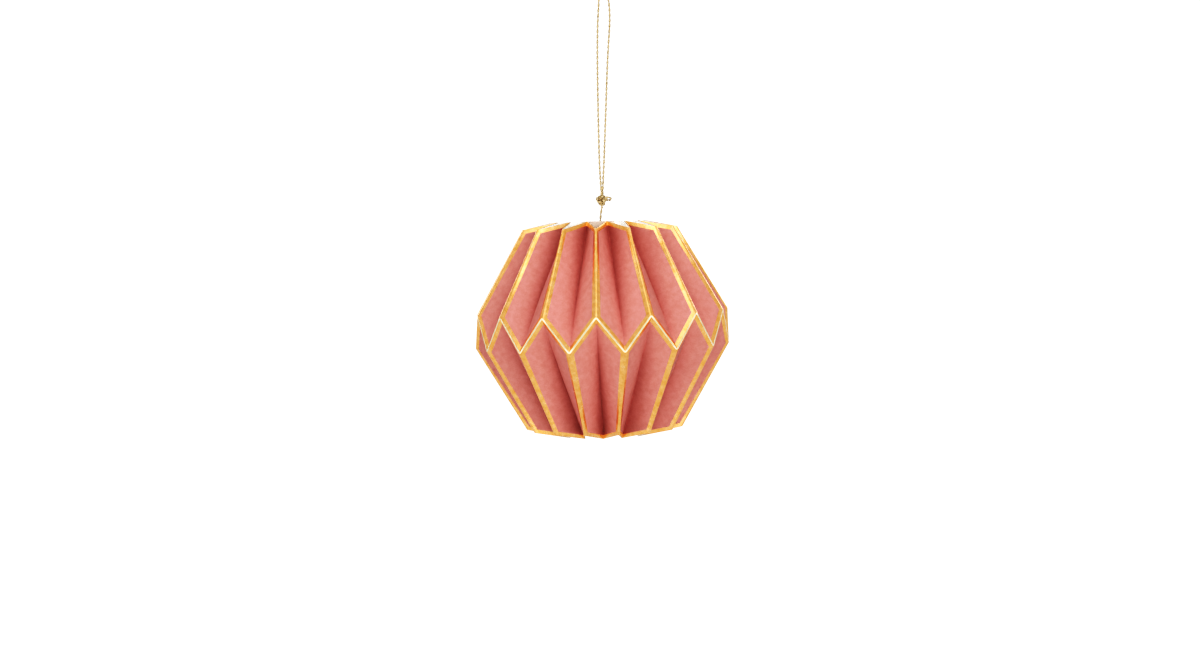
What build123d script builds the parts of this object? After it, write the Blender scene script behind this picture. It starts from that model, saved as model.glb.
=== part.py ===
from build123d import *
from math import cos, radians, sin, tan
import os

# A hanging ball of pleated card: two rows of upright pleats that meet edge to edge in a zigzag round
# the widest part, with gold foil along every edge and ridge, hung on a knotted gold cord.
# Lengths are in millimetres and angles in degrees. The ball is modelled about its own upright axis,
# with height 0 at its widest part and a ridge to the front (-Y), and is then hung on its cord.

# The ball
pleats = 15
pitch = 360 / pleats
half_pitch = pitch / 2
equator_radius = 59.9
tip_height = 7.67
rim_ridge_radius = 36.9
rim_ridge_height = 47.2
rim_valley_radius = 21.3
rim_valley_height = 50.4

# The card
card_thickness = 0.4
crease_width = 0.9
seam_offset = 0.3
leaf_facets = 6

# The gold foil
foil_thickness = 0.06
foil_width = 1.8

# The white tabs behind the zigzag seam
tab_thickness = 0.2
tab_reach = 8.0
tab_glue_gap = 0.2

# The white strip across the top opening
strip_width = 13.5
strip_thickness = 0.4
strip_flap = 7.0
strip_glue_gap = 0.05
strip_hole = 3.0

# The cord and its knots
cord_diameter = 1.1
cord_sides = 12
arc_share = 0.45
knot_gap = 0.1
stopper_size = 4.2
knot_size = 5.8
knot_centre = Vector(-0.9, 0, -95.75)
tail_reach = 1.9
tail_rise = 1.0

# How the ball hangs: the origin is where a hook bears inside the top of the cord's loop
rim_drop = 105.6
rim_shift = -2.1
hang_tilt = 1.64


def polar(radius, angle, height):
    """A point at an angle round the axis, counted from the front towards the right."""
    return Vector(radius * sin(radians(angle)), -radius * cos(radians(angle)), height)


def between(start, end, share):
    """The point, or the value, this share of the way from start to end."""
    return start + (end - start) * share


def meeting_point(first, second, third):
    """The point where three planes meet, each given as (point on it, its unit normal, offset)."""
    normals = [normal for _, normal, _ in (first, second, third)]
    depths = [point.dot(normal) + offset for point, normal, offset in (first, second, third)]
    one, two, three = normals
    share = one.dot(two.cross(three))
    total = two.cross(three) * depths[0] + three.cross(one) * depths[1] + one.cross(two) * depths[2]
    return total * (1 / share)


def ribbon(first, second):
    """Flat three-cornered facets between two lines of points."""
    facets = []
    for a, b, c, d in zip(first, first[1:], second[1:], second):
        facets += [[a, b, c], [a, c, d]]
    return facets


def closed_solid(loops):
    """Sews flat facets, each given by its corners in turn, into one solid."""
    return Solid(Shell([Face(Wire.make_polygon(loop)) for loop in loops]))


def mirrored(loops):
    return [[Vector(-point.X, point.Y, point.Z) for point in loop] for loop in loops]


def all_round(loops):
    """Repeats one pleat's faces round the axis."""
    turned = []
    for number in range(pleats):
        angle = number * pitch
        turned += [[point.rotate(Axis.Z, angle) for point in loop] for loop in loops]
    return turned


def across_the_crest(line):
    """The flat faces that join a ridge's right side to its left, along a line of points on the right."""
    far_line = mirrored([line])[0]
    return [[a, b, c, d] for a, b, c, d in zip(line, line[1:], far_line[1:], far_line)]


class Leaf:
    """The leaf to the right of the front ridge in the upper row, from the ridge to the valley.

    A place on it is (across, down): across is 0 at the ridge and 1 at the valley, and down is 0 at
    the rim and 1 at the zigzag edge.
    """

    def __init__(self):
        side = crease_width / 2
        self.ridge_top = Vector(side, -rim_ridge_radius, rim_ridge_height)
        self.ridge_foot = Vector(side, -equator_radius, tip_height + seam_offset)
        self.valley_top = polar(rim_valley_radius, half_pitch, rim_valley_height)
        self.valley_foot = polar(equator_radius, half_pitch, -tip_height + seam_offset)
        self.ridge_run = (self.ridge_foot - self.ridge_top).normalized()
        self.valley_run = (self.valley_foot - self.valley_top).normalized()
        self.crest_normal = self.ridge_run.cross(Vector(1, 0, 0))
        self.valley_plane = polar(1, half_pitch + 90, 0)

    def place(self, across, down):
        ridge = between(self.ridge_top, self.ridge_foot, down)
        valley = between(self.valley_top, self.valley_foot, down)
        return between(ridge, valley, across)

    def normal(self, across, down):
        ridge = between(self.ridge_top, self.ridge_foot, down)
        valley = between(self.valley_top, self.valley_foot, down)
        run = between(self.ridge_foot - self.ridge_top, self.valley_foot - self.valley_top, across)
        return run.cross(valley - ridge).normalized()

    def ridge_offset(self, down, distance):
        """A point on the ridge's side, moved square to the leaf and to the crest by a distance."""
        point = self.place(0, down)
        return meeting_point(
            (point, self.normal(0, down), distance),
            (point, self.crest_normal, distance),
            (point, self.ridge_run, 0),
        )

    def valley_offset(self, down, distance):
        """A point on the valley, moved square to both leaves that meet there."""
        point = self.place(1, down)
        return meeting_point(
            (point, self.normal(1, down), distance),
            (point, self.valley_plane, 0),
            (point, self.valley_run, 0),
        )

    def offset(self, across, down, distance):
        return self.place(across, down) + self.normal(across, down) * distance


leaf = Leaf()


def share_for_width(edge_start, edge_end, far_point, width):
    """How far along the way to far_point a line lies that is this width from an edge."""
    edge = (edge_end - edge_start).normalized()
    way = far_point - edge_start
    height = (way - edge * way.dot(edge)).length
    return width / height


# Where the foil's inner edges run on a leaf, so that the gold is one width on all three sides
foil_side_top = share_for_width(leaf.ridge_top, leaf.ridge_foot, leaf.valley_top, foil_width)
foil_side_foot = share_for_width(leaf.ridge_foot, leaf.ridge_top, leaf.valley_foot, foil_width)
foil_rim_ridge = share_for_width(leaf.ridge_top, leaf.valley_top, leaf.ridge_foot, foil_width)
foil_rim_valley = share_for_width(leaf.valley_top, leaf.ridge_top, leaf.valley_foot, foil_width)
foil_seam_ridge = 1 - share_for_width(leaf.ridge_foot, leaf.valley_foot, leaf.ridge_top, foil_width)
foil_seam_valley = 1 - share_for_width(leaf.valley_foot, leaf.ridge_foot, leaf.valley_top, foil_width)

field_top = Vector(foil_side_top, between(foil_rim_ridge, foil_rim_valley, foil_side_top))
field_foot = Vector(foil_side_foot, between(foil_seam_ridge, foil_seam_valley, foil_side_foot))
field_run = (leaf.place(field_foot.X, field_foot.Y) - leaf.place(field_top.X, field_top.Y)).length

# Where the creases between a leaf's facets lie, the last but one level with the end of the white tabs
tab_start = 1 - (tab_reach - foil_width) / field_run
facet_lines = [tab_start * number / (leaf_facets - 1) for number in range(leaf_facets)] + [1]


class Layer:
    """The leaf's lines of points at a distance outside the card's face, from the rim to the zigzag.

    The leaf twists gently on its way down, and its facets follow the twist.
    """

    def __init__(self, distance):
        on_side = [between(field_top, field_foot, share) for share in facet_lines]
        on_valley = [between(foil_rim_valley, foil_seam_valley, share) for share in facet_lines]
        self.ridge = [leaf.ridge_offset(share, distance) for share in facet_lines]
        self.side = [leaf.offset(place.X, place.Y, distance) for place in on_side]
        self.valley = [leaf.valley_offset(down, distance) for down in on_valley]
        self.rim = [self.ridge[0], leaf.valley_offset(0, distance)]
        self.seam = [self.ridge[-1], leaf.valley_offset(1, distance)]
        self.under_rim = [self.side[0], self.valley[0]]
        self.over_seam = [self.side[-1], self.valley[-1]]

    def gold_bands(self):
        bands = ribbon(self.ridge, self.side)
        return bands + ribbon(self.rim, self.under_rim) + ribbon(self.seam, self.over_seam)

    def field(self):
        return ribbon(self.side, self.valley)


def pleated_sheet(outer, inner, one_side):
    """A closed ring from one leaf's facets and the walls at its rim and its zigzag edge."""
    one_side = one_side + ribbon(outer.rim, inner.rim) + ribbon(outer.seam, inner.seam)
    crest = across_the_crest(outer.ridge) + across_the_crest(inner.ridge)
    crest += across_the_crest([outer.ridge[0], inner.ridge[0]])
    crest += across_the_crest([outer.ridge[-1], inner.ridge[-1]])
    return closed_solid(all_round(one_side + mirrored(one_side) + crest))


def card_row():
    """One pleated ring of card."""
    outer, inner = Layer(0), Layer(-card_thickness)
    faces = [facet for layer in (outer, inner) for facet in layer.gold_bands() + layer.field()]
    return pleated_sheet(outer, inner, faces)


def foil_row():
    """The gold on one row: a band along the rim, one along the zigzag and one over every ridge."""
    over, under = Layer(foil_thickness), Layer(0)
    faces = over.gold_bands() + under.gold_bands()
    faces += ribbon(over.side, under.side) + ribbon(over.under_rim, under.under_rim)
    faces += ribbon(over.over_seam, under.over_seam)
    return pleated_sheet(over, under, faces)


# Turning the upper row over about this line gives the lower row, half a pitch round
turning_line = Axis((0, 0, 0), polar(1, half_pitch / 2, 0))


def turned(point):
    return point.rotate(turning_line, 180)


def tab_side(depth):
    """The left and right edges of a tab's upper half, from its end to its fold, at a depth behind the card.

    The left edge runs down behind the foil's inner edge and the right one as far from the valley, and
    the fold is where the half meets the other row's half.
    """
    layer = Layer(-card_thickness - depth)
    margin = field_foot.X
    left = layer.side[-2:]
    right = [between(valley, side, margin / (1 - margin)) for side, valley in zip(left, layer.valley[-2:])]
    seam_left, seam_right = between(*layer.seam, margin), between(*layer.seam, 1 - margin)
    normal = (left[1] - seam_left).cross(seam_right - seam_left).normalized()
    fold_left = (seam_left + turned(seam_right)) / 2
    fold_right = (seam_right + turned(seam_left)) / 2
    along = (fold_right - fold_left).normalized()
    upper_half, lower_half = (seam_left, normal, 0), (turned(seam_left), turned(normal), 0)
    left.append(meeting_point(upper_half, lower_half, (fold_left, along, 0)))
    right.append(meeting_point(upper_half, lower_half, (fold_right, along, 0)))
    return left, right


def seam_tab():
    """A white tab folded along one zigzag edge, with a half on the inside of each row."""
    left, right = tab_side(tab_glue_gap)
    deep_left, deep_right = tab_side(tab_glue_gap + tab_thickness)
    upper = ribbon(left, right) + ribbon(deep_left, deep_right)
    upper += ribbon(left, deep_left) + ribbon(right, deep_right)
    upper += ribbon([left[0], right[0]], [deep_left[0], deep_right[0]])
    lower = [[turned(point) for point in facet] for facet in upper]
    return closed_solid(upper + lower)


def seam_tabs():
    """Two tabs to each pleat, one each side of its ridge."""
    right = seam_tab()
    left = right.mirror(Plane.YZ)
    tabs = [tab.rotate(Axis.Z, number * pitch) for number in range(pleats) for tab in (right, left)]
    return Compound(children=tabs)


def hanger_strip():
    """A strip across the top opening, its ends folded down and glued along the valleys inside."""
    top, foot = (leaf.valley_offset(down, -card_thickness) for down in (0, 1))
    top_radius, foot_radius = (Vector(point.X, point.Y).length for point in (top, foot))
    spread = (foot_radius - top_radius) / (top.Z - foot.Z)

    def flap(facing):
        """One end's fold and foot, as (distance from the axis, height), just inside the valleys."""
        fold_reach = (top_radius - spread * (rim_valley_height - top.Z)) * facing - strip_glue_gap
        drop = strip_flap / (1 + (spread * facing) ** 2) ** 0.5
        foot_reach = fold_reach + spread * facing * drop
        return (fold_reach, rim_valley_height), (foot_reach, rim_valley_height - drop)

    # The front end lies across the two valleys beside the front ridge, and the back end on one
    (front_fold, crown), (front_foot, front_low) = flap(cos(radians(half_pitch)))
    (back_fold, _), (back_foot, back_low) = flap(1)
    corners = [(-front_foot, front_low), (-front_fold, crown), (back_fold, crown), (back_foot, back_low)]
    band = offset(Polyline(*corners), amount=strip_thickness, side=Side.RIGHT, kind=Kind.INTERSECTION)
    strip = extrude(make_face(Plane.YZ * band), amount=strip_width / 2, both=True)
    return strip - Pos(0, 0, crown) * Cylinder(strip_hole / 2, 2 * strip_flap)


def cord_tube(route):
    """A tube along straight runs joined by arcs, each as large as its two runs allow."""
    radii = []
    for before, corner, after in zip(route, route[1:], route[2:]):
        arriving, leaving = Vector(corner) - Vector(before), Vector(after) - Vector(corner)
        half_turn = radians(arriving.get_angle(leaving)) / 2
        radii.append(arc_share * min(arriving.length, leaving.length) / tan(half_turn))
    print("cord radii", [round(radius, 1) for radius in radii])
    path = FilletPolyline(*route, radius=radii)
    section = Plane(path @ 0, z_dir=path % 0) * RegularPolygon(cord_diameter / 2, cord_sides)
    tube = sweep(section, path=path)
    print("cord length", round(path.length, 1), "volume", round(tube.volume, 2))
    print("section times length", round(path.length * section.area, 2))
    return tube


# The cord's route, from under the strip to the knot, then up and over the hook and back
stem_route = [(-1.5, 0, -106.0), (-1.4, 0, -102.4), (-0.7, 0, -98.85)]
loop_route = [
    (-0.95, -0.6, -92.6),
    (-1.8, 0, -82.5),
    (-2.4, 0, -61),
    (-2.9, 0, -33),
    (-2.85, 0, -15),
    (-2.35, 0, -5.5),
    (-2.09, 0, -0.27),
    (0, 0, 0.81),
    (2.09, 0, -0.27),
    (2.8, 0, -5.5),
    (3.0, 0, -13),
    (2.0, 0, -27),
    (1.2, 0, -50),
    (0.3, 0, -77),
    (-0.45, 0.6, -92.6),
]


def loop_knot():
    """The knot under the loop, pulled tight, with the cord's cut end standing out of its right side."""
    tail = Line((0, 0, 0), (knot_size / 2 + tail_reach, 0, tail_rise))
    section = Plane((0, 0, 0), z_dir=tail % 0) * RegularPolygon(cord_diameter / 2, cord_sides)
    return Pos(knot_centre) * (Sphere(knot_size / 2) + sweep(section, path=tail))


def stopper_knot():
    """The knot under the strip that keeps the cord from pulling through."""
    height = rim_valley_height - strip_thickness - knot_gap - stopper_size / 2
    return Pos(0, 0, height) * Sphere(stopper_size / 2)


def hung(shape):
    """Moves a piece of the ball from its own upright frame to where it hangs."""
    place = Location((rim_shift, 0, -rim_drop)) * Rotation(0, -hang_tilt, 0)
    return place * Location((0, 0, -rim_valley_height)) * shape


row = card_row()
foil = foil_row()

parts = {
    "upper_row": hung(row),
    "lower_row": hung(row.rotate(turning_line, 180)),
    "upper_gold_border": hung(foil),
    "lower_gold_border": hung(foil.rotate(turning_line, 180)),
    "seam_tabs": hung(seam_tabs()),
    "hanger_strip": hung(hanger_strip()),
    "stopper_knot": hung(stopper_knot()),
    "cord_stem": cord_tube(stem_route),
    "loop_knot": loop_knot(),
    "cord_loop": cord_tube(loop_route),
}

os.makedirs("parts", exist_ok=True)
for name, part in parts.items():
    export_step(part, f"parts/{name}.step")
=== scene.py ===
import math

import bpy
import numpy as np
from mathutils import Matrix, Vector


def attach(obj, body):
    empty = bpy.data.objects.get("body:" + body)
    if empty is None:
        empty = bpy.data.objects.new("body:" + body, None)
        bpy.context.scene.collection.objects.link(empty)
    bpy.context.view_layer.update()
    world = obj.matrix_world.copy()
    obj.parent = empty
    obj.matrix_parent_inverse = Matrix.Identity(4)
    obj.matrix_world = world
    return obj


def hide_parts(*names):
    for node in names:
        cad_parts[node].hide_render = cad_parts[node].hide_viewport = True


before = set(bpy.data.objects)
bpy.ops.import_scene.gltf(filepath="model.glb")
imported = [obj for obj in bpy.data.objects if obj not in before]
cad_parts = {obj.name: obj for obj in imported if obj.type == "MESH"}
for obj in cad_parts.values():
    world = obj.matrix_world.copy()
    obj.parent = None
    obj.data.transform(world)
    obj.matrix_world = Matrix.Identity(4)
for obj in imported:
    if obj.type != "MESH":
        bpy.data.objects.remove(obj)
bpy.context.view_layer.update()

mm = 0.001

# The ball's own sizes, in millimetres and degrees, about its upright axis with height 0 at its widest part
ball = {
    "pleats": 15,
    "equatorRadius": 59.9,
    "tipHeight": 7.67,
    "rimRidgeRadius": 36.9,
    "rimRidgeHeight": 47.2,
    "rimValleyRadius": 21.3,
    "rimValleyHeight": 50.4,
    "seamOffset": 0.3,
    "creaseWidth": 0.9,
    "cardThickness": 0.4,
    "foilWidth": 1.8,
}
halfPitch = math.pi / ball["pleats"]

# How the ball hangs under the origin, which is inside the top of the cord's loop
hanging = {"rimDrop": 105.6, "rimShift": -2.1, "tilt": 1.64}


def hung(points):
    # turned by the tilt about the rim's hole, moved under the origin, and taken from millimetres to metres
    tilt = math.radians(hanging["tilt"])
    x, y, z = points[..., 0], points[..., 1], points[..., 2] - ball["rimValleyHeight"]
    turned = [x * math.cos(tilt) - z * math.sin(tilt) + hanging["rimShift"], y,
              x * math.sin(tilt) + z * math.cos(tilt) - hanging["rimDrop"]]
    return np.stack(turned, -1) * mm


ballCentre = hung(np.zeros(3))

# The camera stands a little right of the front ridge and looks slightly down
view = {
    "distance": 890.35,
    "lookingDown": 3.105,
    "azimuth": 2.38,
    "aside": 0.98,
    "above": 2.51,
    "lens": 56.45,
}


def makeCamera():
    down, azimuth = math.radians(view["lookingDown"]), math.radians(view["azimuth"])
    turn = Matrix.Rotation(azimuth, 3, "Z")
    right = turn @ Vector((1, 0, 0))
    forward = turn @ Vector((0, math.cos(down), -math.sin(down)))
    up = right.cross(forward)
    place = -forward * view["distance"] - right * view["aside"] + up * view["above"]
    data = bpy.data.cameras.new("camera")
    data.sensor_width = 36
    data.lens = view["lens"]
    camera = bpy.data.objects.new("camera", data)
    camera.rotation_mode = "QUATERNION"
    camera.rotation_quaternion = forward.to_track_quat("-Z", "Y")
    camera.location = Vector(ballCentre) + place * mm
    bpy.context.scene.collection.objects.link(camera)
    bpy.context.scene.camera = camera


makeCamera()
print("camera made")


# Meshes

# which side of a sheet a face is on, which is also the place of its material
side = {"outer": 0, "inner": 1, "edge": 2, "rim": 3}


def unit(vectors):
    return vectors / np.linalg.norm(vectors, axis=-1, keepdims=True)


def gridQuads(across, down, closedAcross):
    # quad corners of a grid whose points run down first, its last column joined to its first if it is closed
    columns = np.arange(across if closedAcross else across - 1)[:, None]
    rows = np.arange(down - 1)[None, :]
    following = (columns + 1) % across
    corners = [columns * down + rows, columns * down + rows + 1,
               following * down + rows + 1, following * down + rows]
    return np.stack(np.broadcast_arrays(*corners), -1).reshape(-1, 4)


def thickened(outer, inner, quads):
    # a sheet's outer side, its inner side turned over, and a wall along each edge that only one quad has,
    # with which side each face is on and which points were taken
    used, quads = np.unique(quads, return_inverse=True)
    quads = quads.reshape(-1, 4)
    count = len(used)
    starts, ends = quads.ravel(), np.roll(quads, -1, axis=1).ravel()
    lonely = ~np.isin(starts * count + ends, ends * count + starts)
    starts, ends = starts[lonely], ends[lonely]
    walls = np.stack([ends, starts, starts + count, ends + count], -1)
    faces = np.concatenate([quads, quads[:, ::-1] + count, walls])
    kinds = np.repeat([side["outer"], side["inner"], side["edge"]], [len(quads), len(quads), len(walls)])
    return np.concatenate([outer[used], inner[used]]), faces, kinds, np.concatenate([used, used])


def makePiece(name, points, faceSets, kinds=None, sharpAngle=40):
    # one mesh object from whole arrays, smooth but for edges sharper than the angle
    mesh = bpy.data.meshes.new(name)
    mesh.vertices.add(len(points))
    mesh.vertices.foreach_set("co", np.asarray(points, np.float32).ravel())
    corners = np.concatenate([faces.ravel() for faces in faceSets]).astype(np.int32)
    sizes = np.concatenate([np.full(len(faces), faces.shape[1]) for faces in faceSets])
    starts = np.cumsum(sizes) - sizes
    mesh.loops.add(len(corners))
    mesh.loops.foreach_set("vertex_index", corners)
    mesh.polygons.add(len(sizes))
    mesh.polygons.foreach_set("loop_start", starts.astype(np.int32))
    mesh.update(calc_edges=True)
    if kinds is not None:
        mesh.polygons.foreach_set("material_index", kinds.astype(np.int32))
    mesh.polygons.foreach_set("use_smooth", np.ones(len(sizes), bool))
    mesh.set_sharp_from_angle(angle=math.radians(sharpAngle))
    mesh.validate()
    piece = bpy.data.objects.new(name, mesh)
    bpy.context.scene.collection.objects.link(piece)
    return piece


def addUv(piece, perVertex):
    # each corner takes its vertex's own pair, in millimetres along the surface
    mesh = piece.data
    corners = np.empty(len(mesh.loops), np.int32)
    mesh.loops.foreach_get("vertex_index", corners)
    layer = mesh.uv_layers.new(name="surface")
    layer.data.foreach_set("uv", perVertex[corners].astype(np.float32).ravel())


def addFoldShade(piece, perVertex):
    # the weight of the shade painted into the pink at each point, from 0 on the open leaf to 1 at the
    # valley's end on the rim
    layer = piece.data.attributes.new("fold", "FLOAT", "POINT")
    layer.data.foreach_set("value", perVertex.astype(np.float32))


def putIn(piece, slot, materials, *nodes):
    # a finished piece rides on the body, stands for its nodes and takes its materials
    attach(piece, "root")
    if nodes:
        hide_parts(*nodes)
    for material in materials:
        piece.data.materials.append(material)
    return piece


# Cord: the route's points are those of the solid tube, in millimetres in the row frame

cord = {
    "diameter": 1.1,
    "plies": 2,
    "layLength": 4.9,
    "sides": 10,
    "step": 0.16,
    "sharpAngle": 70,
}

stemRoute = [(-1.5, 0, -106.0), (-1.4, 0, -102.4), (-0.7, 0, -98.85)]
loopRoute = [
    (-0.95, -0.6, -92.6),
    (-1.8, 0, -82.5),
    (-2.4, 0, -61),
    (-2.9, 0, -33),
    (-2.85, 0, -15),
    (-2.35, 0, -5.5),
    (-2.09, 0, -0.27),
    (0, 0, 0.81),
    (2.09, 0, -0.27),
    (2.8, 0, -5.5),
    (3.0, 0, -13),
    (2.0, 0, -27),
    (1.2, 0, -50),
    (0.3, 0, -77),
    (-0.45, 0.6, -92.6),
]


def splinePoints(route, step):
    # the route's points steer a quadratic NURBS spline, read back as even steps along its length
    curve = bpy.data.curves.new("route", "CURVE")
    curve.dimensions = "3D"
    spline = curve.splines.new("NURBS")
    spline.points.add(len(route) - 1)
    spline.points.foreach_set("co", np.c_[np.array(route, float), np.ones(len(route))].ravel())
    spline.order_u = 3
    spline.use_endpoint_u = True
    spline.resolution_u = 32
    holder = bpy.data.objects.new("route", curve)
    bpy.context.scene.collection.objects.link(holder)
    mesh = bpy.data.meshes.new_from_object(holder.evaluated_get(bpy.context.evaluated_depsgraph_get()))
    line = np.empty(len(mesh.vertices) * 3)
    mesh.vertices.foreach_get("co", line)
    line = line.reshape(-1, 3)
    bpy.data.objects.remove(holder)
    bpy.data.meshes.remove(mesh)
    return evenSteps(line, step)


def evenSteps(line, step):
    # the same line, its points the same distance apart, with how far along it each one lies
    run = np.concatenate([[0], np.cumsum(np.linalg.norm(np.diff(line, axis=0), axis=1))])
    places = np.linspace(0, run[-1], max(int(run[-1] / step), 8))
    return np.stack([np.interp(places, run, line[:, axis]) for axis in range(3)], -1), places


def twistedCord(line, run, facing):
    # each ply is a tube whose centre turns round the line, one turn to a lay length:
    # line + r (cos p, sin p) + r (cos q, sin q), where p grows along the cord and q goes round the ply
    along = unit(np.gradient(line, axis=0))
    aside = unit(np.cross(along, facing))
    upward = np.cross(aside, along)
    radius, sides, count = cord["diameter"] / 4, cord["sides"], len(line)
    wayRound = 2 * math.pi * np.arange(sides) / sides
    points, quads, caps, uvs = [], [], [], []
    for ply in range(cord["plies"]):
        turn = 2 * math.pi * (run / cord["layLength"] + ply / cord["plies"])
        out = np.cos(turn)[:, None] * aside + np.sin(turn)[:, None] * upward
        across = -np.sin(turn)[:, None] * aside + np.cos(turn)[:, None] * upward
        ring = np.cos(wayRound)[:, None, None] * out + np.sin(wayRound)[:, None, None] * across
        first = ply * sides * count
        points.append((line + radius * (out + ring)).reshape(-1, 3))
        quads.append(gridQuads(sides, count, True) + first)
        columns = np.arange(sides) * count + first
        caps += [columns, columns[::-1] + count - 1]
        grid = np.broadcast_arrays(run[None, :], wayRound[:, None] / math.pi)
        uvs.append(np.stack(grid, -1).reshape(-1, 2))
    return np.concatenate(points), [np.concatenate(quads), np.stack(caps)], np.concatenate(uvs)


# The leaf of card to the right of the front ridge, worked out in millimetres

leaf = {
    "crestRound": 0.8,
    "valleyRound": 0.5,
    "bulge": 0.9,
    "bulgeLean": 0.7,
    "foldFrom": 0.25,
    "foldAcross": 1.5,
    "foldDown": 0.8,
    "crestSteps": 4,
    "goldSteps": 4,
    "fieldSteps": 16,
    "valleySteps": 3,
    "rimSteps": 3,
    "downSteps": 30,
    "seamSteps": 3,
    "bareLip": 0.05,
}


def polar(radius, angle, height):
    # a point this far from the upright axis, its angle counted from the front towards the right
    return np.array([radius * math.sin(angle), -radius * math.cos(angle), height])


ridgeTop = np.array([ball["creaseWidth"] / 2, -ball["rimRidgeRadius"], ball["rimRidgeHeight"]])
ridgeFoot = np.array([ball["creaseWidth"] / 2, -ball["equatorRadius"],
                      ball["tipHeight"] + ball["seamOffset"]])
valleyTop = polar(ball["rimValleyRadius"], halfPitch, ball["rimValleyHeight"])
valleyFoot = polar(ball["equatorRadius"], halfPitch, -ball["tipHeight"] + ball["seamOffset"])


def shareForWidth(edgeStart, edgeEnd, farPoint, width):
    # how far towards farPoint a line lies that is this width from the edge
    edge = unit(edgeEnd - edgeStart)
    way = farPoint - edgeStart
    return width / np.linalg.norm(way - edge * way.dot(edge))


goldShares = {
    "sideTop": shareForWidth(ridgeTop, ridgeFoot, valleyTop, ball["foilWidth"]),
    "sideFoot": shareForWidth(ridgeFoot, ridgeTop, valleyFoot, ball["foilWidth"]),
    "rimRidge": shareForWidth(ridgeTop, valleyTop, ridgeFoot, ball["foilWidth"]),
    "rimValley": shareForWidth(valleyTop, ridgeTop, valleyFoot, ball["foilWidth"]),
    "seamRidge": shareForWidth(ridgeFoot, valleyFoot, ridgeTop, ball["foilWidth"]),
    "seamValley": shareForWidth(valleyFoot, ridgeFoot, valleyTop, ball["foilWidth"]),
}


def mix(start, end, share):
    return start + (end - start) * share


def bezier(start, middle, end, share):
    # a quadratic curve: two straight lines mixed, and the two results mixed again
    return mix(mix(start, middle, share), mix(middle, end, share), share)


def leafGrid():
    # straight lines from ridge to valley, the crest and the valley rounded by quadratic curves, and the
    # field raised by bulge 27/4 u^2 (1 - u), which is steepest beside the valley and dies away towards
    # the rim and the seam as the square of sin(pi (1 - v)^lean), u being the way across and v the way down
    meanSide = (goldShares["sideTop"] + goldShares["sideFoot"]) / 2
    nominal = np.concatenate([
        np.zeros(leaf["crestSteps"]),
        np.linspace(0, meanSide, leaf["goldSteps"], endpoint=False),
        np.linspace(meanSide, 1, leaf["fieldSteps"], endpoint=False),
        np.ones(leaf["valleySteps"] + 1),
    ])[:, None]
    rim = mix(goldShares["rimRidge"], goldShares["rimValley"], nominal)
    seam = 1 - mix(goldShares["seamRidge"], goldShares["seamValley"], nominal)
    rimShare = np.linspace(0, 1, leaf["rimSteps"], endpoint=False)[None, :]
    middleShare = np.linspace(0, 1, leaf["downSteps"], endpoint=False)[None, :]
    foilEnd = 1 - leaf["bareLip"] / ball["foilWidth"]
    seamShare = np.append(np.linspace(0, foilEnd, leaf["seamSteps"]), 1)[None, :]
    stretches = [rim * rimShare, mix(rim, seam, middleShare), mix(seam, 1, seamShare)]
    down = np.concatenate(stretches, axis=1)[..., None]

    ridge, valley = mix(ridgeTop, ridgeFoot, down), mix(valleyTop, valleyFoot, down)
    width = np.linalg.norm(valley - ridge, axis=-1, keepdims=True)
    crestShare, valleyShare = leaf["crestRound"] / width, 1 - leaf["valleyRound"] / width
    sideShare = mix(goldShares["sideTop"], goldShares["sideFoot"], down)
    crest, gold, field = np.split(np.arange(len(nominal)), np.cumsum(
        [leaf["crestSteps"], leaf["goldSteps"], leaf["fieldSteps"]]))[:3]
    hollow = np.arange(len(nominal))[-leaf["valleySteps"] - 1:]
    across = np.zeros(down.shape)
    goldRun = (np.arange(leaf["goldSteps"]) / leaf["goldSteps"])[:, None, None]
    fieldRun = (np.arange(leaf["fieldSteps"]) / leaf["fieldSteps"])[:, None, None]
    across[gold] = mix(crestShare[gold], sideShare[gold], goldRun)
    across[field] = mix(sideShare[field], valleyShare[field], fieldRun)
    across[hollow] = valleyShare[hollow]
    across[crest] = crestShare[crest]
    points = mix(ridge, valley, across)

    centre = ridge * np.array([0, 1, 1])
    crestRun = (np.arange(leaf["crestSteps"]) / leaf["crestSteps"])[:, None, None]
    points[crest] = bezier(centre[crest], ridge[crest], points[crest], crestRun)
    plane = polar(1, halfPitch + math.pi / 2, 0)
    last = points[hollow]
    foldLine = last - ((last - valley[hollow]) @ plane)[..., None] * plane
    valleyRun = (np.arange(leaf["valleySteps"] + 1) / leaf["valleySteps"])[:, None, None]
    halfBack, halfOver = mix(valley[hollow], last, 0.5), mix(valley[hollow], foldLine, 0.5)
    points[hollow] = bezier(last, halfBack, halfOver, valleyRun)

    normal = unit(np.cross(mix(ridgeFoot - ridgeTop, valleyFoot - valleyTop, across), valley - ridge))
    fullSwell = leaf["bulge"] * 27 / 4  # because u^2 (1 - u) is 4/27 at its greatest, where u is 2/3
    fade = np.sin(math.pi * (1 - down) ** leaf["bulgeLean"]) ** 2
    swell = fullSwell * across**2 * (1 - across) * fade
    swell[hollow] *= (1 - valleyRun)
    # painted shade for the pink: none on the ridge's side of foldFrom, growing towards the valley and fading
    # down towards the seam
    intoFold = np.clip((across - leaf["foldFrom"]) / (1 - leaf["foldFrom"]), 0, 1)
    paintedFoldShade = intoFold ** leaf["foldAcross"] * (1 - down) ** leaf["foldDown"]
    return points + normal * swell, paintedFoldShade


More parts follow.
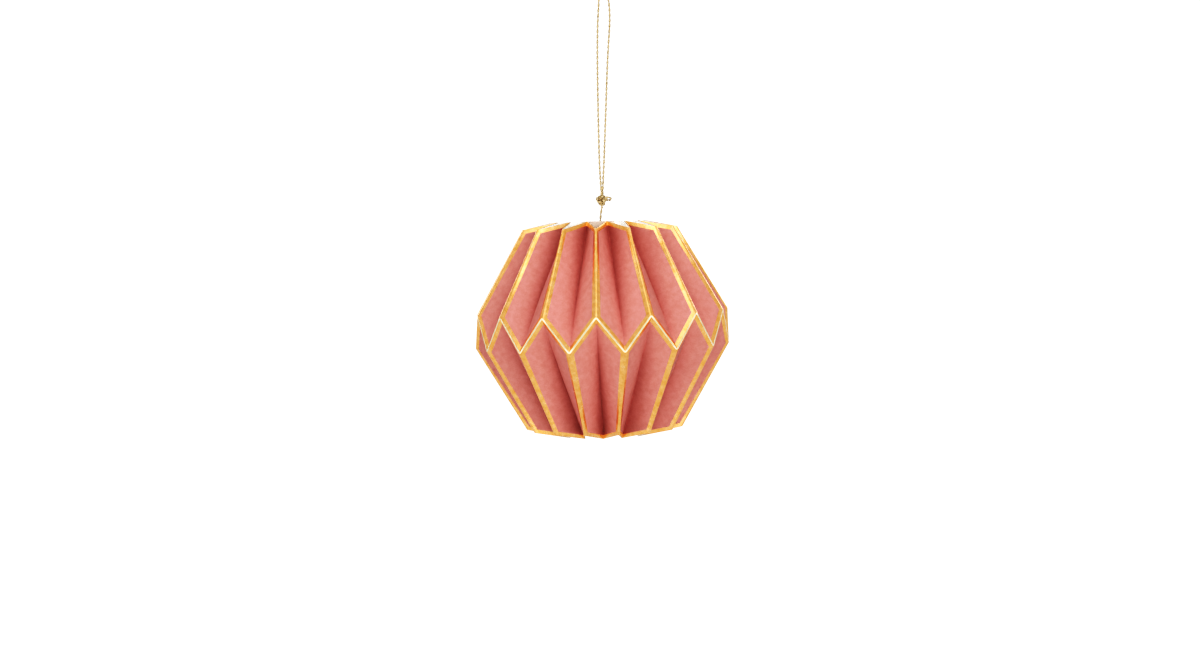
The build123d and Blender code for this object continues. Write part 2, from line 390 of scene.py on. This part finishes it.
def ringGrid():
    # the leaf mirrored for each ridge's left side, and every pleat turned round the axis
    points, paintedFoldShade = leafGrid()
    mirrored = (points * np.array([-1, 1, 1]))[:0:-1]
    pleat = np.concatenate([mirrored, points[:-1]])
    paintedFoldShade = np.concatenate([paintedFoldShade[:0:-1], paintedFoldShade[:-1]])
    turned = []
    for number in range(ball["pleats"]):
        angle = 2 * halfPitch * number
        x, y, z = np.moveaxis(pleat, -1, 0)
        turned.append(np.stack([x * math.cos(angle) - y * math.sin(angle),
                                x * math.sin(angle) + y * math.cos(angle), z], -1))
    ring = np.concatenate(turned)
    aside = np.roll(ring, -1, 0) - np.roll(ring, 1, 0)
    normals = unit(np.cross(np.gradient(ring, axis=1), aside))
    return ring, normals, np.tile(paintedFoldShade, (ball["pleats"], 1, 1)).ravel()


def goldQuads(columns, rows):
    # which quads of the ring lie under the foil: crests and side bands, the rim, and the seam to its bare lip
    leafColumns = leaf["crestSteps"] + leaf["goldSteps"] + leaf["fieldSteps"] + leaf["valleySteps"]
    onLeaf = np.arange(leafColumns) < leaf["crestSteps"] + leaf["goldSteps"]
    acrossGold = np.tile(np.concatenate([onLeaf[::-1], onLeaf]), ball["pleats"])
    number = np.arange(rows - 1)
    downGold = (number < leaf["rimSteps"]) | (number >= leaf["rimSteps"] + leaf["downSteps"])
    return ((acrossGold[:, None] | downGold[None, :]) & (number < rows - 2)[None, :]).ravel()


def turnedOver(points):
    # a half turn about the level line a quarter pitch round from the front: 2 (p . n) n - p, with n along it
    line = polar(1, halfPitch / 2, 0)
    return 2 * (points @ line)[..., None] * line - points


print("shapes worked out")


# Finishes

def makeGroup(name, inputs, outputs):
    # a shader node group with named inputs and outputs, all of them numbers
    group = bpy.data.node_groups.new(name, "ShaderNodeTree")
    for label in inputs:
        group.interface.new_socket(label, in_out="INPUT", socket_type="NodeSocketFloat")
    for label in outputs:
        group.interface.new_socket(label, in_out="OUTPUT", socket_type="NodeSocketFloat")
    return group, group.nodes.new("NodeGroupInput"), group.nodes.new("NodeGroupOutput")


def addNode(tree, kind, inputs=None, **values):
    # a node with its settings, and its inputs given as numbers, colours or sockets to link from
    node = tree.nodes.new(kind)
    for label, value in values.items():
        setattr(node, label, value)
    for label, value in (inputs or {}).items():
        if isinstance(value, bpy.types.NodeSocket):
            tree.links.new(value, node.inputs[label])
        else:
            node.inputs[label].default_value = value
    return node


def makePaperGrain():
    # fine tooth and slow clouding of uncoated card: a tone about 1, and a height for the bump
    group, given, result = makeGroup(
        "paperGrain", ["toothScale", "cloudScale", "toneSpread"], ["tone", "height"])
    place = addNode(group, "ShaderNodeTexCoord").outputs["Object"]
    tooth = addNode(group, "ShaderNodeTexNoise", {
        "Vector": place, "Scale": given.outputs["toothScale"], "Detail": 3.0, "Roughness": 0.6})
    cloud = addNode(group, "ShaderNodeTexNoise", {
        "Vector": place, "Scale": given.outputs["cloudScale"], "Detail": 4.0, "Roughness": 0.55})
    both = addNode(group, "ShaderNodeMath", {
        0: tooth.outputs["Fac"], 1: cloud.outputs["Fac"]}, operation="ADD")
    centred = addNode(group, "ShaderNodeMath", {0: both.outputs[0], 1: 1.0}, operation="SUBTRACT")
    tone = addNode(group, "ShaderNodeMath", {
        0: centred.outputs[0], 1: given.outputs["toneSpread"], 2: 1.0}, operation="MULTIPLY_ADD")
    group.links.new(tone.outputs[0], result.inputs["tone"])
    group.links.new(tooth.outputs["Fac"], result.inputs["height"])
    return group


def makeFoilGrain():
    # hot-stamped foil over the card's tooth: slow waves and fine pits, as a tone and a height
    group, given, result = makeGroup(
        "foilGrain", ["waveScale", "pitScale", "pitShare"], ["tone", "height"])
    place = addNode(group, "ShaderNodeTexCoord").outputs["Object"]
    waves = addNode(group, "ShaderNodeTexNoise", {
        "Vector": place, "Scale": given.outputs["waveScale"], "Detail": 3.0, "Roughness": 0.6})
    pits = addNode(group, "ShaderNodeTexNoise", {
        "Vector": place, "Scale": given.outputs["pitScale"], "Detail": 2.0, "Roughness": 0.5})
    height = addNode(group, "ShaderNodeMath", {
        0: pits.outputs["Fac"], 1: given.outputs["pitShare"], 2: waves.outputs["Fac"]},
        operation="MULTIPLY_ADD")
    group.links.new(waves.outputs["Fac"], result.inputs["tone"])
    group.links.new(height.outputs[0], result.inputs["height"])
    return group


def newMaterial(name, **constants):
    material = bpy.data.materials.new(name)
    material.use_nodes = True
    tree = material.node_tree
    shader = tree.nodes["Principled BSDF"]
    for label, value in constants.items():
        shader.inputs[label.replace("_", " ")].default_value = value
    return material, tree, shader


def useGroup(tree, group, values):
    # the group placed in a material with its own values
    node = tree.nodes.new("ShaderNodeGroup")
    node.node_tree = group
    for label, value in values.items():
        node.inputs[label].default_value = value
    return node


mixSockets = {"first": 6, "second": 7, "result": 2}  # where a Mix node has its colours


def tintedBy(tree, value, low, high, lowColour, highColour):
    # a colour between two, as the value goes from low to high
    share = addNode(tree, "ShaderNodeMapRange", {
        "Value": value, "From Min": low, "From Max": high}, clamp=True)
    mixed = addNode(tree, "ShaderNodeMix", data_type="RGBA")
    tree.links.new(share.outputs["Result"], mixed.inputs["Factor"])
    mixed.inputs[mixSockets["first"]].default_value = (*lowColour, 1)
    mixed.inputs[mixSockets["second"]].default_value = (*highColour, 1)
    return mixed.outputs[mixSockets["result"]]


def multiplied(tree, colour, tint):
    # one colour seen through another
    mixed = addNode(tree, "ShaderNodeMix", data_type="RGBA", blend_type="MULTIPLY")
    mixed.inputs["Factor"].default_value = 1.0
    tree.links.new(colour, mixed.inputs[mixSockets["first"]])
    tree.links.new(tint, mixed.inputs[mixSockets["second"]])
    return mixed.outputs[mixSockets["result"]]


def bumped(tree, shader, height, distance, strength=1.0):
    bump = addNode(tree, "ShaderNodeBump", {"Height": height, "Distance": distance, "Strength": strength})
    tree.links.new(bump.outputs["Normal"], shader.inputs["Normal"])


paperGrain, foilGrain = makePaperGrain(), makeFoilGrain()

# each paper's lighter and deeper tone and the height of its tooth in metres, and the colour of the pink's
# painted shade in a fold
pinkSettings = {
    "light": (0.77, 0.325, 0.285),
    "deep": (0.69, 0.255, 0.22),
    # the pink's colour deep in a fold: painted shade
    "paintedFoldShade": (0.52, 0.27, 0.23),
    "tooth": 0.00004,
}
# the hanger strip is white card: its peach is painted reflection of the pink around it, kept light as painted
# light in the notch
pinkBounceSettings = {"light": (1.0, 0.77, 0.63), "deep": (0.97, 0.72, 0.57), "tooth": 0.00003}
edgeSettings = {"light": (1.0, 0.81, 0.44), "deep": (1.0, 0.73, 0.36), "tooth": 0.00002}
# the rim's cut edge is the same card as the cream seam edge: its dark brown is painted shade
rimShadeSettings = {"light": (0.5, 0.36, 0.2), "deep": (0.36, 0.24, 0.12), "tooth": 0.00003}
whiteSettings = {"light": (0.96, 0.95, 0.91), "deep": (0.9, 0.88, 0.84), "tooth": 0.00003}
cardGrain = {"toothScale": 2600.0, "cloudScale": 420.0, "toneSpread": 0.9}
cardTone = {"deepAt": 0.8, "lightAt": 1.2, "sheen": 0.3}


def makePaper(name, settings, roughness, **constants):
    # card whose tone clouds between its two colours, with shade painted in as it goes down into a fold
    material, tree, shader = newMaterial(
        name, Roughness=roughness, Specular_IOR_Level=cardTone["sheen"], **constants)
    grain = useGroup(tree, paperGrain, cardGrain)
    colour = tintedBy(tree, grain.outputs["tone"], cardTone["deepAt"], cardTone["lightAt"],
                      settings["deep"], settings["light"])
    if "paintedFoldShade" in settings:
        # the fold weight multiplies the pink by a darker red: painted shade in the folds
        depth = addNode(tree, "ShaderNodeAttribute", attribute_name="fold").outputs["Fac"]
        tint = tintedBy(tree, depth, 0.0, 1.0, (1, 1, 1), settings["paintedFoldShade"])
        colour = multiplied(tree, colour, tint)
    tree.links.new(colour, shader.inputs["Base Color"])
    bumped(tree, shader, grain.outputs["height"], settings["tooth"])
    return material


foilSettings = {
    "light": (1.0, 0.57, 0.26),
    "deep": (0.9, 0.43, 0.12),
    "deepAt": 0.3,
    "lightAt": 0.7,
    "smoothest": 0.22,
    "roughest": 0.3,
    "waves": 0.00002,
}
foilPits = {"waveScale": 420.0, "pitScale": 2200.0, "pitShare": 0.35}


def makeFoil():
    # foil pressed onto the card, its colour and its gloss following the same slow waves
    material, tree, shader = newMaterial("goldFoil", Metallic=1.0, Coat_Weight=0.25, Coat_Roughness=0.3)
    grain = useGroup(tree, foilGrain, foilPits)
    colour = tintedBy(tree, grain.outputs["tone"], foilSettings["deepAt"], foilSettings["lightAt"],
                      foilSettings["deep"], foilSettings["light"])
    tree.links.new(colour, shader.inputs["Base Color"])
    rough = addNode(tree, "ShaderNodeMapRange", {
        "Value": grain.outputs["tone"], "To Min": foilSettings["smoothest"],
        "To Max": foilSettings["roughest"]}, clamp=True)
    tree.links.new(rough.outputs["Result"], shader.inputs["Roughness"])
    bumped(tree, shader, grain.outputs["height"], foilSettings["waves"])
    return material


# deep is painted shade in the grooves between filaments, and crown is painted shade along each ply's crown
threadSettings = {
    "light": (0.95, 0.79, 0.5),
    "deep": (0.46, 0.34, 0.17),
    "crown": (0.37, 0.3, 0.22),
    "filament": 0.24,
    "lean": 2.0,
    "waver": 0.6,
    "lightAt": 0.8,
    "crownFrom": -0.2,
    "crownTo": 0.7,
    "height": 0.00005,
}


def makeThread():
    # metallic filaments laid round each ply, with shade painted into the grooves between them, and the ply's
    # crown painted darker so the ways between the plies show as painted highlight lines; the crown is where
    # the cosine of pi times the way round is near 1
    material, tree, shader = newMaterial("goldThread", Metallic=0.5, Roughness=0.42)
    place = addNode(tree, "ShaderNodeUVMap", uv_map="surface").outputs["UV"]
    turned = addNode(tree, "ShaderNodeMapping", {
        "Vector": place, "Scale": (1 / threadSettings["filament"], threadSettings["lean"], 1.0)})
    filaments = addNode(tree, "ShaderNodeTexWave", {
        "Vector": turned.outputs["Vector"], "Scale": 0.5, "Distortion": threadSettings["waver"],
        "Detail": 1.0}, wave_type="BANDS", bands_direction="DIAGONAL")
    strands = tintedBy(tree, filaments.outputs["Fac"], 0.0, threadSettings["lightAt"],
                       threadSettings["deep"], threadSettings["light"])
    way = addNode(tree, "ShaderNodeSeparateXYZ", {"Vector": place}).outputs["Y"]
    turn = addNode(tree, "ShaderNodeMath", {0: way, 1: math.pi}, operation="MULTIPLY").outputs[0]
    crown = addNode(tree, "ShaderNodeMath", {0: turn}, operation="COSINE").outputs[0]
    # painted shade along the crown, leaving painted highlight lines between the plies
    paintedCrownShade = tintedBy(tree, crown, threadSettings["crownFrom"], threadSettings["crownTo"],
                      (1, 1, 1), threadSettings["crown"])
    tree.links.new(multiplied(tree, strands, paintedCrownShade), shader.inputs["Base Color"])
    bumped(tree, shader, filaments.outputs["Fac"], threadSettings["height"])
    return material


pinkCard = makePaper("pinkCard", pinkSettings, 0.7)
rawEdge = makePaper("rawEdge", edgeSettings, 0.5, Metallic=0.35)
shadedRimEdge = makePaper("shadedRimEdge", rimShadeSettings, 0.85)
whiteCard = makePaper("whiteCard", whiteSettings, 0.5, Coat_Weight=0.8, Coat_Roughness=0.2)
pinkBounceCard = makePaper("pinkBounceCard", pinkBounceSettings, 0.8)
goldFoil, goldThread = makeFoil(), makeThread()
print("finishes made")


# The cord, its knots and its cut end

def makeCordPiece(name, route, facing=(0, 1, 0)):
    line, run = splinePoints(route, cord["step"])
    points, faceSets, uv = twistedCord(line, run, np.array(facing, float))
    piece = makePiece(name, points * mm, faceSets, sharpAngle=cord["sharpAngle"])
    addUv(piece, uv)
    return piece, line


# the loop's knot, in millimetres and its turns in radians; ring and swing are shares of its reach,
# and its cut tail and its ways to the loop and the stem are drawn from its centre
knot = {
    "centre": (-0.9, 0.0, -95.75),
    "size": 5.8,
    "turned": 1.45,
    "pairGap": 0.9,
    "pairShare": 0.93,
    "coreSize": 4.4,
    "coreTurned": 0.4,
    "ring": 0.62,
    "swing": 0.38,
    "tail": [
        (1.0, -0.4, 0.6), (2.4, -0.9, 1.5), (4.3, -0.5, 1.3),
        (4.4, 0.3, 0.0), (3.0, 0.5, 0.1), (1.4, 0.2, 0.3),
    ],
    "fromLoop": [
        [(-0.05, -0.6, 3.2), (-0.15, -0.5, 1.9), (0, -0.2, 0.6)],
        [(0.45, 0.6, 3.2), (0.3, 0.5, 1.9), (0, 0.2, 0.6)],
    ],
    "toStem": [(0.2, 0, -3.15), (0.35, 0, -2.0), (0, 0, -0.6)],
}
stopper = {"size": 4.2, "turned": 1.0, "below": 0.5}


def tiedKnot(size, turned, samples=260):
    # a tight overhand knot, twice round and three times through itself:
    # (R + r cos 3t) cos 2t, -r sin 3t, (R + r cos 3t) sin 2t, its outside as wide as the knot
    share = np.linspace(0, 2 * math.pi, samples)
    reach = (size - cord["diameter"]) / 2
    wide = reach * (knot["ring"] + knot["swing"] * np.cos(3 * share))
    line = np.stack([wide * np.cos(2 * share), -reach * knot["swing"] * np.sin(3 * share),
                     wide * np.sin(2 * share)], -1)
    return line @ np.array(Matrix.Rotation(turned, 3, "Y")).T


def knotPiece(name, lines, centre):
    # each line as twisted cord, its plies laid round the way out from the knot's middle
    allPoints, quads, caps, uvs = [], [], [], []
    first = 0
    middle = np.array([-0.01, -0.02, -0.03])  # a little aside, so that no line passes through it
    for line in lines:
        even, run = evenSteps(line, cord["step"])
        points, (ownQuads, ownCaps), uv = twistedCord(even, run, unit(even - middle))
        allPoints.append(points)
        quads.append(ownQuads + first)
        caps.append(ownCaps + first)
        uvs.append(uv)
        first += len(points)
    piece = makePiece(name, (np.concatenate(allPoints) + centre) * mm,
                      [np.concatenate(quads), np.concatenate(caps)], sharpAngle=cord["sharpAngle"])
    addUv(piece, np.concatenate(uvs))
    return piece


loopPiece, loopLine = makeCordPiece("cordLoop", loopRoute)
stemPiece, _ = makeCordPiece("cordStem", stemRoute)
turns = tiedKnot(knot["size"], knot["turned"])
core = tiedKnot(knot["coreSize"], knot["coreTurned"])
pair = np.array([0.0, knot["pairGap"] / 2, 0.0])
looseRoutes = [knot["tail"], *knot["fromLoop"], knot["toStem"]]
loose = [splinePoints(route, cord["step"])[0] for route in looseRoutes]
tied = [turns + pair, turns * knot["pairShare"] - pair, core, *loose]
loopKnotPiece = knotPiece("loopKnot", tied, np.array(knot["centre"]))
stopperHeight = ball["rimValleyHeight"] - stopper["below"] - stopper["size"] / 2
stopperCentre = hung(np.array([0, 0, stopperHeight])) / mm
stopperPiece = knotPiece("stopperKnot", [tiedKnot(stopper["size"], stopper["turned"])], stopperCentre)
putIn(loopPiece, "gold_cord", [goldThread], "cord_loop")
putIn(stemPiece, "gold_cord", [goldThread], "cord_stem")
putIn(loopKnotPiece, "gold_cord", [goldThread], "loop_knot")
putIn(stopperPiece, "gold_cord", [goldThread], "stopper_knot")


# The card and its foil

foil = {"rise": 0.045, "sink": 0.02}  # how far it lies over and under the card's face
rawSeam = {"depth": 0.05}  # how far the cut edges of the two rows fall back to where they meet


def makeRows():
    # the upper row's card and foil, and the same turned over for the lower row: the card goes inwards along
    # the ring's normals, and the foil lies from just under its face to just over it
    ring, normals, paintedFoldShade = ringGrid()
    columns, rows = ring.shape[:2]
    quads = gridQuads(columns, rows, True)
    gold = goldQuads(columns, rows)
    back = ring - normals * ball["cardThickness"]
    seam = ring[:, -1]
    back[:, -1] = seam - unit(seam * [1, 1, 0]) * rawSeam["depth"] - [0, 0, ball["seamOffset"]]
    over, under = ring + normals * foil["rise"], ring - normals * foil["sink"]
    sheets = {
        "Card": thickened(ring.reshape(-1, 3), back.reshape(-1, 3), quads),
        "Foil": thickened(over.reshape(-1, 3), under.reshape(-1, 3), quads[gold]),
    }
    # the walls along the rim take a dark brown, which is painted shade on the card's cut edge, and the outer
    # side's bare lip along the seam has a finish of its own
    _, faces, kinds, used = sheets["Card"]
    kinds[(kinds == side["edge"]) & (used[faces[:, 0]] % rows == 0)] = side["rim"]
    kinds[rows - 2:len(quads):rows - 1] = side["edge"]
    for row, place in {"upper": lambda points: points, "lower": turnedOver}.items():
        for sheet, (corners, faces, kinds, used) in sheets.items():
            piece = makePiece(row + sheet, hung(place(corners)), [faces], kinds)
            if sheet == "Card":
                addFoldShade(piece, paintedFoldShade[used])
                putIn(piece, "pink_card", [pinkCard, whiteCard, rawEdge, shadedRimEdge], row + "_row")
            else:
                putIn(piece, "gold_foil", [goldFoil, goldFoil, goldFoil], row + "_gold_border")


makeRows()
print("card and foil made")

# the hanger strip takes the peach of painted pink reflection
for node, material in {"seam_tabs": whiteCard, "hanger_strip": pinkBounceCard}.items():
    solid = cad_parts[node]
    solid.data.materials.clear()
    solid.data.materials.append(material)


# Floor and light

# the tent's measures in metres, its steps and sides, its own grey, and its light as seen and as mirrored
backdrop = {
    "floor": -0.62,
    "hub": 0.05,
    "flat": 1.3,
    "curve": 0.7,
    "wall": 1.6,
    "flatSteps": 7,
    "bendSteps": 24,
    "sides": 96,
    "shade": 0.2,
    "seen": 1.4,
    "mirrored": 0.7,
}


def makeBackdrop():
    # a studio tent turned round the upright axis: a flat floor, a quarter circle, a plain wall and a domed
    # top, blown out to white before the camera, dimmer in reflections and dark to the folds' own shade
    bend = np.linspace(0, math.pi / 2, backdrop["bendSteps"])
    wide = backdrop["flat"] + backdrop["curve"]
    flat = np.linspace(backdrop["hub"], backdrop["flat"], backdrop["flatSteps"] + 1)[:-1]
    radius = np.concatenate([flat, backdrop["flat"] + backdrop["curve"] * np.sin(bend),
                             wide * np.cos(bend[:-1])])
    height = np.concatenate([np.zeros(len(flat)), backdrop["curve"] * (1 - np.cos(bend)),
                             backdrop["wall"] + wide * np.sin(bend[:-1])]) + backdrop["floor"]
    sides = backdrop["sides"]
    angle = np.linspace(0, 2 * math.pi, sides, endpoint=False)[:, None]
    points = np.stack(np.broadcast_arrays(radius * np.sin(angle), -radius * np.cos(angle), height), -1)
    quads = gridQuads(sides, len(radius), True)
    hub = (np.arange(sides) * len(radius))[None, :]
    floor = makePiece("floor", points.reshape(-1, 3), [quads[:, ::-1], hub, hub[:, ::-1] + len(radius) - 1])
    material, tree, shader = newMaterial("paleFloor", Roughness=1.0, Specular_IOR_Level=0.0)
    shade = backdrop["shade"]
    shader.inputs["Base Color"].default_value = (shade, shade, shade, 1)
    shader.inputs["Emission Color"].default_value = (1, 1, 1, 1)
    seen = addNode(tree, "ShaderNodeLightPath").outputs["Is Camera Ray"]
    strength = addNode(tree, "ShaderNodeMapRange", {
        "Value": seen, "To Min": backdrop["mirrored"], "To Max": backdrop["seen"]})
    tree.links.new(strength.outputs["Result"], shader.inputs["Emission Strength"])
    floor.data.materials.append(material)
    floor.visible_diffuse = False


# each light's way round from the front towards the right and its height, both in degrees, its distance from
# the ball's centre, its size and its power; the last one stands in the open foot, under the white inside
lights = {
    "right": {"round": 43, "up": 2, "distance": 1.2, "size": 1.0, "power": 9.0},
    "left": {"round": -56, "up": 1, "distance": 1.2, "size": 1.0, "power": 9.0},
    "front": {"round": 5, "up": -7, "distance": 1.2, "size": 0.6, "power": 5.9},
    "top": {"round": 6, "up": 35, "distance": 1.2, "size": 0.5, "power": 1.4},
    "high": {"round": 6, "up": 72, "distance": 1.2, "size": 0.8, "power": 2.5},
    "backRight": {"round": 157, "up": 12, "distance": 1.2, "size": 0.9, "power": 8.5},
    "backLeft": {"round": -157, "up": 12, "distance": 1.2, "size": 0.9, "power": 8.5},
    "inside": {"round": 0, "up": -90, "distance": 0.042, "size": 0.025, "power": 0.05},
}
film = {"world": 0.01, "curve": [(0.09, 0.032), (0.2, 0.125), (0.33, 0.29), (0.7, 0.69)], "top": 0.9}


def makeLights():
    for name, settings in lights.items():
        data = bpy.data.lights.new(name, "AREA")
        data.size = settings["size"]
        data.energy = settings["power"]
        lamp = bpy.data.objects.new(name, data)
        azimuth, up = math.radians(settings["round"]), math.radians(settings["up"])
        way = Vector((math.sin(azimuth) * math.cos(up), -math.cos(azimuth) * math.cos(up), math.sin(up)))
        lamp.location = Vector(ballCentre) + way * settings["distance"]
        lamp.rotation_mode = "QUATERNION"
        lamp.rotation_quaternion = way.to_track_quat("Z", "Y")
        lamp.visible_camera = False
        bpy.context.scene.collection.objects.link(lamp)
    world = bpy.data.worlds.new("studio")
    world.use_nodes = True
    world.node_tree.nodes["Background"].inputs["Color"].default_value = (1, 1, 1, 1)
    world.node_tree.nodes["Background"].inputs["Strength"].default_value = film["world"]
    bpy.context.scene.world = world


def makeFilm():
    # a print's contrast: shadows drawn down, middle tones nearly kept, the brightest lights held back
    settings = bpy.context.scene.view_settings
    settings.view_transform = "Standard"
    settings.use_curve_mapping = True
    curve = settings.curve_mapping.curves[3]  # the one for all three colours together
    curve.points[-1].location = (1, film["top"])
    for place in film["curve"]:
        curve.points.new(*place)
    settings.curve_mapping.update()


makeBackdrop()
makeLights()
makeFilm()
print("floor and lights made")
